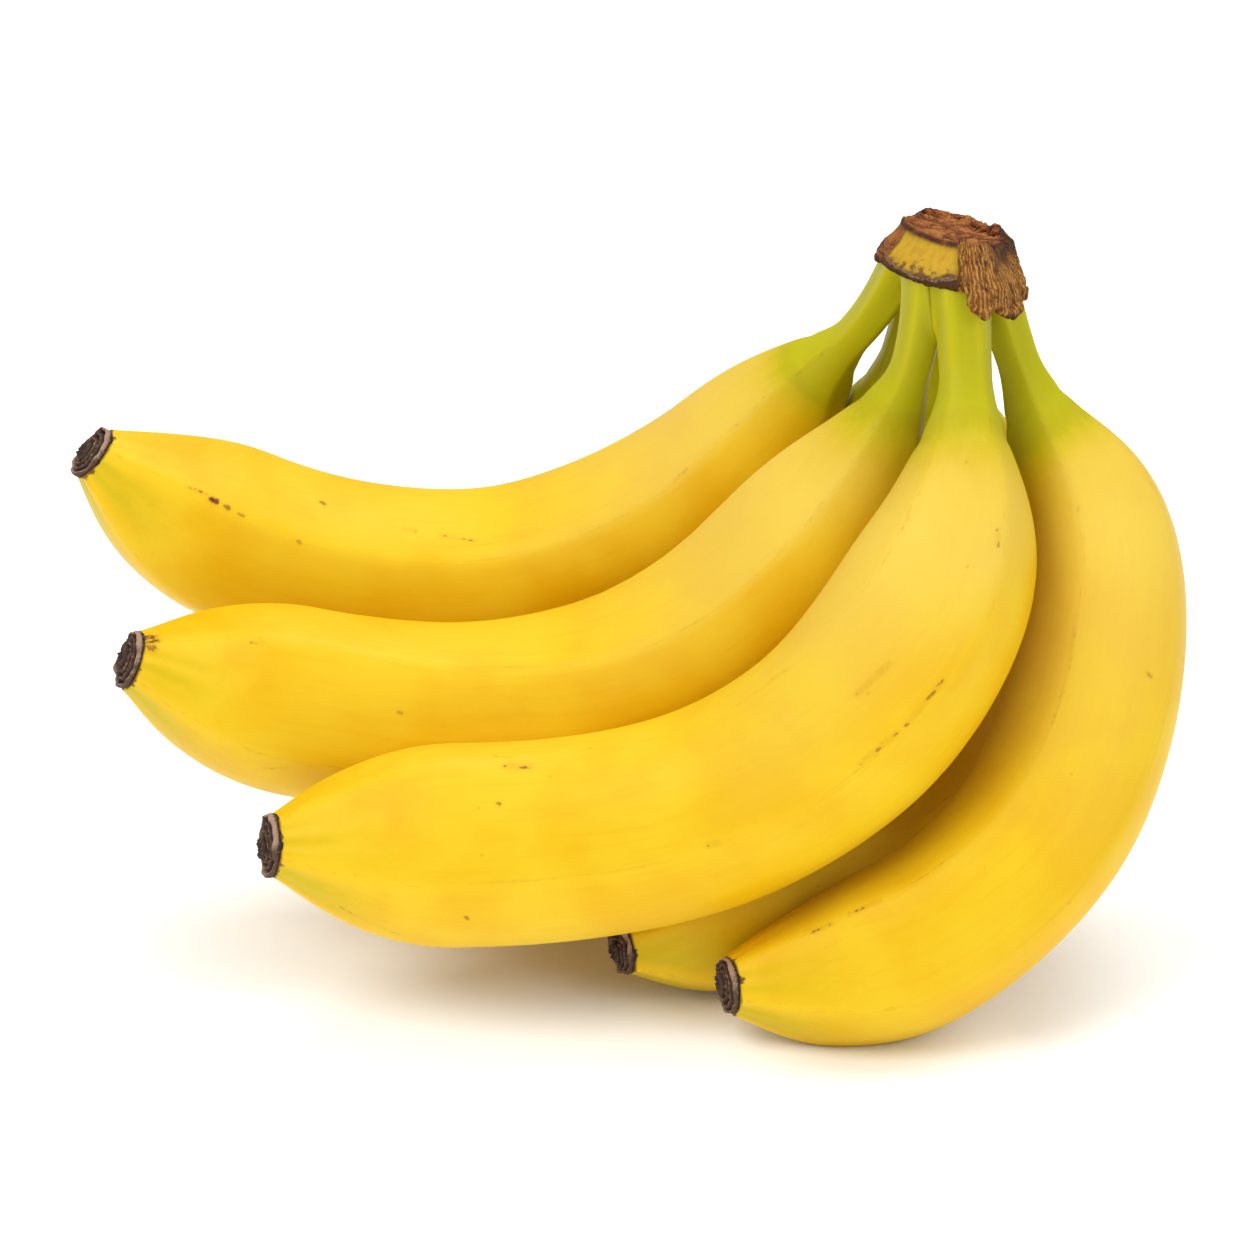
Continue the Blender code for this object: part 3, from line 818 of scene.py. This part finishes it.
def scar_rings(number):
    """Rings of a blossom end, and their share of the radius with noise values for the colours."""
    layout = layouts[number]
    end, ahead = layout["line"][-1], layout["ahead"][-1]
    across, bend = layout["across"][-1], layout["bend"][-1]
    radius = FRUITS[number]["end"] / 2
    towards = np.array(camera.location) / MM - end
    lean = math.atan2(towards @ bend, towards @ across) + STUMP_TURN * (-1) ** number
    rings, extras = [], []
    for share, out in SCAR_PROFILE:
        ring, extra = [], []
        aside = STUMP_OFFSET * radius * max(0.0, 1 - share / 0.85)
        for side in range(SCAR_SIDES):
            turn = side * 2 * math.pi / SCAR_SIDES
            spoke = Vector((math.cos(turn), math.sin(turn), 0))
            slow = noise.noise(spoke * 1.4 + Vector((0, 0, 5 * number)))
            lumps = noise.noise(spoke * 3.2 + Vector((0, 0, 5 * number + 1.2 * share)))
            fast = noise.noise(spoke * (7 * share + 2) + Vector((0, 0, 3 * number + 4 * share)))
            lip = max(0.0, min(1.0, (share - 0.80) * 6))
            inside = 1 - lip
            buried = max(0.0, min(1.0, out + 1.2))
            size = radius * share * (1 + buried * (LIP_WANDER * lip * (slow + 0.6 * lumps)
                                                   + RING_WANDER * inside * (lumps + 0.5 * fast)))
            depth = out * (1 + LIP_WAVE * (slow + 0.7 * lumps) * lip)
            depth += CRINKLE * inside * min(1.0, 2.5 * share) * (lumps + 0.35 * fast)
            ridge = 0.5 + 0.5 * math.cos(2 * math.pi * (share - RIDGE_AT) / RIDGE_SPACING)
            if share < STUMP_SHARE:
                depth += 0.6 * slow + 0.3 * fast
            spot = (end + ahead * depth + across * (math.cos(turn) * size + math.cos(lean) * aside)
                    + bend * (math.sin(turn) * size + math.sin(lean) * aside))
            ring.append(spot)
            extra.append((share, out / HIGHEST_RING, 0.15 + 0.7 * ridge + 0.3 * fast))
        rings.append(ring)
        extras.append(extra)
    return rings, extras


scar_pieces = {}
for number in FRUITS:
    scar_pieces[number] = finish_piece(f"scar_{number}", loft(*scar_rings(number)), f"blossom_end_{number}")
print("blossom ends:", len(scar_pieces), "of", len(scar_pieces[1].data.polygons), "faces")

# %% [markdown]
# ## The dry scar's material
#
# The lip is tan where it faces up and darker where it faces down, a painted highlight and painted
# shade, and painted shade darkens the scar just beneath it. The dish is dark brown with paler folds,
# which are paler still where they face up, a painted highlight. The loft kept three numbers in
# `straight` for each point: how far out it is, how high, and how near it is to a fold's crest.
# Those choose the colours, with the way the surface faces, and a fine noise gives the grain.

# %% Dry scar material
TAN = colour(178, 146, 120)
DISH = colour(97, 71, 56)
DARK_DISH = colour(41, 26, 20)
STUMP = colour(61, 48, 44)

scar_stuff, scar_shader, wire = new_material("dry_scar")
place = wire.place_in_mm()
kept = wire.attribute("straight", "Vector")
out_share, out_height, ridge = kept.part("X"), kept.part("Y"), kept.part("Z")
upwards = wire.upwards()
grain = place.clouds(1.8, 5.0, 0.65)
specked = place.clouds(5.5, 3.0, 0.7)
shade = (ridge * 0.7 + grain * 0.5).ramp(0.3, 0.9).tint(DISH, DARK_DISH)
hairline = ridge.ramp(0.72, 0.95) * (grain + specked * 0.4).ramp(0.5, 0.75)
# Fold crests are paler, partly their own colour and partly a painted highlight where they face up.
shade = (hairline * (upwards * 0.4 + 0.4)).tint(TAN, shade)
shade = (out_share.ramp(0.38, 0.30) * 0.7).tint(STUMP, shade)
lip = out_share.ramp(0.84, 0.93) * (out_height + (grain - 0.5) * 0.3).ramp(0.05, 0.25)
# Painted shade: the lip darker where it faces down.
shade = (lip * (1.0 - upwards.ramp(-0.2, 0.5)) * 0.75).tint(DISH, shade)
# Painted highlight: the lip tan where it faces up.
shade = (lip * (upwards + (grain - 0.5) * 1.1).ramp(-0.1, 0.75) * 0.95).tint(TAN, shade)
shade = (lip * specked.ramp(0.5, 0.7) * 0.4).tint(DISH, shade)
# Painted shade: darker just beneath the curled lip.
shade_under_lip = out_share.ramp(0.9, 1.0) * (out_height + (grain - 0.5) * 0.3).ramp(0.2, 0.0)
shade = (shade_under_lip * 0.85).tint(DARK_DISH, shade)
plug_in(scar_shader, Base_Color=shade, Roughness=0.75 + grain * 0.2,
        Normal=(grain + specked * 0.5).bump(0.35, 0.8), Specular_IOR_Level=0.26)
for piece in scar_pieces.values():
    piece.data.materials.append(scar_stuff)
print("dry scar material:", len(scar_stuff.node_tree.nodes), "nodes")

# %% [markdown]
# ## The crown's rough body
#
# The crown is where the bunch was cut from the plant: a corky cushion with a fresh cut on its
# front, and a torn fibrous flap that hangs over the stalks. Its parts run into each other, which
# lofts can't do. So a plain cushion and a plain flap are made first, put in one mesh, and remeshed
# in small voxels, as a sculptor would join lumps of clay.

# %% Cushion and flap
CROWN_OUTLINE = [(49.5, 33), (50, 25), (56, 15), (64, 11), (72, 14), (76, 23), (74.5, 36), (67.5, 45),
                 (58, 44)]
CROWN_CENTRE = np.array((64, 30))
CROWN_BASE = 149.4
CROWN_BASE_TILT = 0.09
CROWN_TOP = 156.9
CROWN_TOP_TILT = 0.14
RIM_SIZE = 0.71
CUSHION_SIDES = 120
CUSHION_RINGS = [(-0.06, 0.86), (-0.06, 0.96), (0.0, 1.02), (0.08, 1.05), (0.16, 1.06), (0.22, 1.04),
                 (0.37, 0.97), (0.52, 0.90), (0.67, 0.83), (0.82, 0.765), (0.94, 0.725), (1.0, RIM_SIZE),
                 (1.02, 0.67), (0.99, 0.61), (0.96, 0.50), (0.94, 0.36), (0.93, 0.24), (0.94, 0.12)]
FLAP_PLAN = [(64.4, 8.6), (67.8, 7.4), (71.5, 10), (74.5, 14.5), (77, 20)]
FLAP_BOTTOM = [147.4, 145.3, 147.0, 143.4, 146.6]
FLAP_TOP = [157.6, 157.4, 157.0, 156.4, 155.9]
FLAP_LEAN = 8.2
FLAP_HANGS = 0.35
FLAP_COLUMNS = 60
FLAP_ROWS = 24
FLAP_THICKNESS = 2.0
VOXEL = 0.24

outline, _ = smooth_line(CROWN_OUTLINE + CROWN_OUTLINE[:1], CUSHION_SIDES + 1)
spokes = outline[:-1] - CROWN_CENTRE


def cushion_rings():
    """Rings of the cushion: the outline grows and shrinks with height, and closes over the top."""
    rings = []
    for height, size in CUSHION_RINGS:
        spread = spokes * size
        low = CROWN_BASE - CROWN_BASE_TILT * spread[:, 0]
        level = low + (CROWN_TOP - CROWN_TOP_TILT * spread[:, 0] - low) * height
        rings.append(np.column_stack([CROWN_CENTRE + spread, level]) + MODEL_SHIFT)
    return rings


def add_to(mesh, part):
    """Adds the faces of one mesh to another."""
    data = bpy.data.meshes.new("part")
    part.to_mesh(data)
    part.free()
    mesh.from_mesh(data)
    bpy.data.meshes.remove(data)


def add_flap(mesh):
    """Adds the flap: a sheet bent round the stalks, made thick by solidify."""
    plan = np.array([(x, y, bottom) for (x, y), bottom in zip(FLAP_PLAN, FLAP_BOTTOM)], float)
    lower, _ = smooth_line(plan, FLAP_COLUMNS + 1)
    tops = np.interp(np.linspace(0, 1, FLAP_COLUMNS + 1), np.linspace(0, 1, len(FLAP_TOP)), FLAP_TOP)
    towards = CROWN_CENTRE - lower[:, :2]
    towards /= np.linalg.norm(towards, axis=1)[:, None]
    sheet = bmesh.new()
    bmesh.ops.create_grid(sheet, x_segments=FLAP_COLUMNS, y_segments=FLAP_ROWS, size=0.5)
    for vert in sheet.verts:
        column = round((vert.co.x + 0.5) * FLAP_COLUMNS)
        share = vert.co.y + 0.5
        x, y, bottom = lower[column]
        lean = FLAP_LEAN * max(0, share - FLAP_HANGS) / (1 - FLAP_HANGS)
        vert.co = Vector((x + towards[column, 0] * lean, y + towards[column, 1] * lean,
                          bottom + (tops[column] - bottom) * share)) + Vector(MODEL_SHIFT)
        vert.co *= MM
    bmesh.ops.recalc_face_normals(sheet, faces=sheet.faces)
    bmesh.ops.solidify(sheet, geom=sheet.faces, thickness=FLAP_THICKNESS * MM)
    bmesh.ops.recalc_face_normals(sheet, faces=sheet.faces)
    add_to(mesh, sheet)


crown_mesh = loft(cushion_rings())
add_flap(crown_mesh)
print("crown before remeshing:", len(crown_mesh.faces), "faces")

# %% [markdown]
# ## Lumps and folds on the crown
#
# The torn edge isn't even: a ridge runs along the back of the top, a small lobe sticks out at the
# left, the flap bulges over its right shoulder, and its edges are rolled. Each of these is a row of
# small balls from one pixel of the photograph to another, at a chosen depth. Balls that overlap by
# half melt into one lump when they are remeshed with the rest.

# %% Lumps
# Each row of balls: its first pixel and depth, its last pixel and depth, and the balls' radius.
LUMPS = [
    ((917, 219), 37, (926, 214), 39, 1.1),
    ((926, 214), 39, (936, 216), 40, 1.1),
    ((936, 216), 40, (966, 220), 39, 0.9),
    ((966, 220), 39, (986, 232), 31, 0.8),
    ((994, 232), 29, (1007, 245), 27, 1.5),
    ((1007, 245), 27, (1013, 262), 24, 1.3),
    ((880, 257), 29, (887, 252), 27, 1.2),
    ((962, 243), 16.5, (964, 268), 11.6, 0.7),
    ((964, 268), 11.6, (969, 290), 8.4, 0.9),
    ((974, 308), 7.5, (985, 316), 7.0, 0.9),
    ((985, 316), 7.0, (991, 309), 7.6, 0.8),
    ((1000, 310), 11, (1012, 315), 12, 1.0),
    ((1012, 315), 12, (1018, 308), 14, 1.0),
    ((1024, 297), 18, (1025, 289), 18, 0.9),
]
# Neighbouring balls are this share of their radius apart.
BALL_STEP = 0.5


def at_depth(pixel, depth):
    """The place, in millimetres, that a pixel of the photograph shows at that depth."""
    ray = camera_ray(pixel)
    eye = camera.location / MM
    return eye + ray * ((depth + MODEL_SHIFT[1] - eye.y) / ray.y)


for from_pixel, from_depth, to_pixel, to_depth, thick in LUMPS:
    start, end = at_depth(from_pixel, from_depth), at_depth(to_pixel, to_depth)
    count = max(2, round((end - start).length / (thick * BALL_STEP)) + 1)
    for step in range(count):
        ball = bmesh.new()
        bmesh.ops.create_icosphere(ball, subdivisions=2, radius=thick * MM)
        bmesh.ops.translate(ball, verts=ball.verts, vec=start.lerp(end, step / (count - 1)) * MM)
        add_to(crown_mesh, ball)

crown = finish_piece("crown_wood", crown_mesh, "crown")
clay = crown.modifiers.new("clay", "REMESH")
clay.mode = "VOXEL"
clay.voxel_size = VOXEL * MM
bpy.context.view_layer.update()
shape = bpy.data.meshes.new_from_object(crown.evaluated_get(bpy.context.evaluated_depsgraph_get()))
crown.modifiers.clear()
crown.data = shape
print("crown after remeshing:", len(shape.polygons), "faces")

# %% [markdown]
# ## Carving the crown
#
# A sculptor would now carve the clay. Code can do the same by moving each point along its normal
# by an amount that depends on where it is: deep corky pits on top, fibres down the flap, a nearly
# smooth face on the cut. These areas are kept as attributes, so that the colours follow them.

# %% Which part of the crown a point belongs to
def clouds_at(places, size, seed, octaves=3):
    """Cloudy noise about 0 at each place, with lumps of that size in millimetres."""
    return np.array([noise.fractal(Vector(place) / size + Vector((seed, 0, 0)), 1.0, 2.0, octaves)
                     for place in places])


CREST_SHARPNESS = 2.6


def creases_at(places, size, seed, octaves=3):
    """Noise with narrow crests, as torn fibre has: near 1 on a crest, below 0 between."""
    return 1 - CREST_SHARPNESS * np.abs(clouds_at(places, size, seed, octaves))


def smooth_step(values, start, end):
    """0 up to the start, 1 past the end, and soft between, for numbers of any order."""
    share = np.clip((values - start) / (end - start), 0, 1)
    return share * share * (3 - 2 * share)


CROWN_RADIUS = 12
TOP_FROM = 154
TOP_FULL = 155.5
FLAP_LEFT = math.radians(-92)
FLAP_RIGHT = math.radians(8)

places = np.array([vert.co for vert in shape.vertices]) / MM
normals = np.array([vert.normal for vert in shape.vertices])
centre = CROWN_CENTRE + MODEL_SHIFT[:2]
turns = np.arctan2(places[:, 1] - centre[1], places[:, 0] - centre[0])
wound = np.column_stack([np.cos(turns) * CROWN_RADIUS, np.sin(turns) * CROWN_RADIUS, places[:, 2]])

spoke_turns = np.arctan2(spokes[:, 1], spokes[:, 0])
order = np.argsort(spoke_turns)
reach = np.interp(turns, spoke_turns[order], np.linalg.norm(spokes, axis=1)[order], period=2 * math.pi)
size = np.linalg.norm(places[:, :2] - centre, axis=1) / reach

flap = (smooth_step((turns - FLAP_LEFT) * reach * size, -0.5, -0.1)
        * smooth_step(turns, FLAP_RIGHT, FLAP_RIGHT - 0.04)
        * smooth_step(size, RIM_SIZE, RIM_SIZE + 0.03))
top = smooth_step(size, RIM_SIZE + 0.02, RIM_SIZE - 0.02) * smooth_step(places[:, 2], TOP_FROM, TOP_FULL)
print(f"points: {len(places)}, on the flap {int(flap.sum())}, on the top {int(top.sum())}")

# %% The fresh cut, its brown neighbour and their edges
LIP_PLANE = {"height": 157.1, "per_x": 0.205, "per_y": 0.266, "highest": 154.2}
CUT_LEFT = math.radians(-156)
CUT_RIGHT = math.radians(-91)
BROWN_LEFT = math.radians(-215)
EDGE_WIDTH = 0.45

wobbly = 0.5 * clouds_at(places, 1.3, 60.0, 2)
lip_height = (LIP_PLANE["height"] + LIP_PLANE["per_x"] * (places[:, 0] - centre[0])
              + LIP_PLANE["per_y"] * (places[:, 1] - centre[1]))
above_lip = places[:, 2] - np.minimum(lip_height, LIP_PLANE["highest"]) + 0.6 * wobbly
front_turns = np.where(turns > math.pi / 2, turns - 2 * math.pi, turns)
past_left = (front_turns - CUT_LEFT) * reach * size + wobbly
past_right = (front_turns - CUT_RIGHT) * reach * size
past_brown = (front_turns - BROWN_LEFT) * reach * size
wall = smooth_step(above_lip, 0.0, 0.4) * smooth_step(size, RIM_SIZE + 0.005, RIM_SIZE + 0.035) * (1 - flap)
pale = wall * smooth_step(past_left, -0.2, 0.2) * smooth_step(past_right, 0.2, -0.2)
brown = wall * smooth_step(past_left, 0.2, -0.2) * smooth_step(past_brown, -0.4, 0.4)
in_front = smooth_step(past_brown, -1.5, 1.5) * smooth_step(past_right, 0.6, -0.6)
lip = np.exp(-((above_lip - 0.1) / EDGE_WIDTH) ** 2) * in_front * (1 - flap)
top_rim = np.exp(-((size - RIM_SIZE) * reach / EDGE_WIDTH) ** 2) * smooth_step(places[:, 2], 155, 156)
corner = np.exp(-(past_left / EDGE_WIDTH) ** 2) * wall
rim = np.maximum.reduce([lip, top_rim, corner * 0.8])
cuts = np.maximum(pale, brown)
print(f"points on the fresh cut {int(pale.sum())}, on its neighbour {int(brown.sum())}")

# %% Carve and remember
CORK_DEPTH = 0.36
CORK_FIBRE_DEPTH = 0.32
FIBRE_DEPTH = 0.13
FOLD_DEPTH = 0.26
SKIRT_DEPTH = 0.22
CUT_DEPTH = 0.08
RIM_RISE = 0.24

swirl = np.column_stack([clouds_at(places, 4.0, 20.0, 2), clouds_at(places, 4.0, 30.0, 2)])
combed = np.column_stack([places[:, 0] * 0.22 + 1.3 * swirl[:, 0], places[:, 1] + 2.6 * swirl[:, 1],
                          places[:, 2] * 0.6])
cork = clouds_at(places, 2.4, 0.0, 4)
strands = creases_at(combed, 0.95, 2.0, 3)
wavy = wound + np.column_stack([swirl[:, 0], swirl[:, 1], np.zeros(len(places))]) * 0.9
fibres = creases_at(wavy * np.array((1.0, 1.0, 0.2)), 0.5, 4.0, 3)
folds = clouds_at(wavy * np.array((1.0, 1.0, 0.2)), 1.8, 6.0, 2)
lumps = clouds_at(places, 1.5, 8.0, 3)
rest = (1 - flap) * (1 - top) * (1 - cuts)
amount = (top * (CORK_DEPTH * cork + CORK_FIBRE_DEPTH * strands)
          + flap * (FIBRE_DEPTH * fibres + FOLD_DEPTH * folds)
          + SKIRT_DEPTH * rest * lumps + CUT_DEPTH * cuts * lumps + RIM_RISE * rim)
places = places + normals * amount[:, None]
shape.vertices.foreach_set("co", (places * MM).ravel())
relief = 0.5 + 0.5 * np.clip(top * (0.6 * strands + 0.7 * cork) + flap * fibres + rest * 0.8 * lumps, -1, 1)
masks = {"pale": pale, "brown": brown, "flap": flap, "top": top, "relief": relief, "rim": rim, "lip": lip}
for name, values in masks.items():
    shape.attributes.new(name, "FLOAT", "POINT").data.foreach_set("value", values.astype(np.float32))
shape.shade_smooth()
shape.update()
print(f"carved up to {np.abs(amount).max():.2f} mm deep")

# %% [markdown]
# ## The crown's material
#
# Cork, fresh cut, dry fibre: one material can be all three, because the attributes say which part
# a point belongs to. Each finish is worked out on its own and then laid over the one below.

# %% Crown material
CORK = colour(126, 63, 18)
CORK_LIGHT = colour(177, 116, 54)
CORK_DARK = colour(48, 22, 9)
CUT = colour(195, 154, 31)
CUT_STAIN = colour(78, 39, 24)
ORANGE_BARK = colour(161, 94, 29)
FIBRE = colour(131, 77, 18)
FIBRE_LIGHT = colour(194, 143, 69)
FIBRE_DARK = colour(46, 20, 5)
RIM = colour(48, 26, 20)
LIP = colour(160, 120, 84)
SKIRT = colour(78, 46, 12)

THREAD_ARC = 19.0
THREAD_SPACING = 0.72

crown_stuff, crown_shader, wire = new_material("crown_cork")
place = wire.place_in_mm()
kept = {name: wire.attribute(name) for name in masks}
middle = (float(centre[0]), float(centre[1]), 0.0)
flat = (place - middle) * (1.0, 1.0, 0.0)
round_place = flat.node("ShaderNodeVectorMath", {"operation": "NORMALIZE"}, {0: flat}) * float(CROWN_RADIUS)
round_place = round_place + place * (0.0, 0.0, 0.2)
relief = kept["relief"]
grain = place.clouds(1.6, 5.0, 0.65)
broad = place.clouds(0.28, 3.0)
threads = round_place.clouds(2.6, 4.0, 0.75)
round_way = wire.maths("ARCTAN2", flat.part("Y"), flat.part("X")) * THREAD_ARC
winding = (place * (1.0, 1.0, 0.4)).clouds(0.5, 3.0, 0.6) * 16.0
lines = wire.maths("SINE", round_way * (2 * math.pi / THREAD_SPACING) + winding) * 0.5 + 0.5

skirt = (relief * 0.5 + grain * 0.5).ramp(0.35, 0.7).tint(SKIRT, CORK_DARK)
corky = (relief * 0.8 + grain * 0.35).ramp(0.35, 0.75).tint(CORK, CORK_DARK)
corky = ((relief + grain * 0.5).ramp(0.82, 1.15) * 0.8).tint(CORK_LIGHT, corky)
bark = (grain * 0.8 + broad * 0.8).ramp(0.7, 1.05).tint(CUT_STAIN, ORANGE_BARK)
fresh = ((place * (1.0, 1.0, 0.25)).clouds(0.7, 3.0).ramp(0.4, 0.7) * 0.3).tint(ORANGE_BARK, CUT)
stain_height = place.part("Z") + (grain - 0.5) * 1.5 + (place.clouds(0.55, 2.0) - 0.5) * 10
fresh = (stain_height.ramp(153.4, 151.2) * 0.8).tint(CUT_STAIN, fresh)
dry = (relief * 0.3 + threads * 0.9 + broad * 0.3).ramp(0.42, 0.86).tint(FIBRE, FIBRE_DARK)
dry = ((relief * 0.25 + threads * 0.9 + lines * 0.3).ramp(0.72, 0.98) * 0.75).tint(FIBRE_LIGHT, dry)
height = place.part("Z") + (threads - 0.5) * 2.5
dry = (height.ramp(145.6, 144.2) * 0.85).tint(RIM, dry)
dry = ((height + broad * 5).ramp(154.5, 157.0) * place.part("X").ramp(70.5, 73.5) * 0.8).tint(RIM, dry)

shade = (kept["top"] | place.part("Z").ramp(151.0, 153.0)).tint(corky, skirt)
shade = kept["flap"].tint(dry, shade)
shade = kept["brown"].tint(bark, shade)
shade = kept["pale"].tint(fresh, shade)
shade = (kept["rim"] * (grain + 0.3).ramp(0.5, 0.9) * 0.85).tint(RIM, shade)
shade = (kept["lip"].ramp(0.75, 1.0) * (grain + 0.3).ramp(0.6, 0.9) * 0.7).tint(LIP, shade)
plug_in(crown_shader, Base_Color=shade, Roughness=0.62 + grain * 0.25,
        Normal=(grain + threads * kept["flap"]).bump(0.35, 0.7), Specular_IOR_Level=0.26)
crown.data.materials.append(crown_stuff)
print("crown material:", len(crown_stuff.node_tree.nodes), "nodes")

# %% [markdown]
# ## Checking the size
#
# The dressed bunch must be as big as the plain model. The last cell prints, for each axis, how
# far each side of the dressed bunch's box lies from the plain model's.

# %% Sizes and the end
dressed_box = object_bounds()
for axis, label in enumerate("XYZ"):
    low, high = [(dressed_box[end][axis] - model_box[end][axis]) / MM for end in range(2)]
    print(f"{label}: {low:+.2f} mm at its low side, {high:+.2f} mm at its high side")
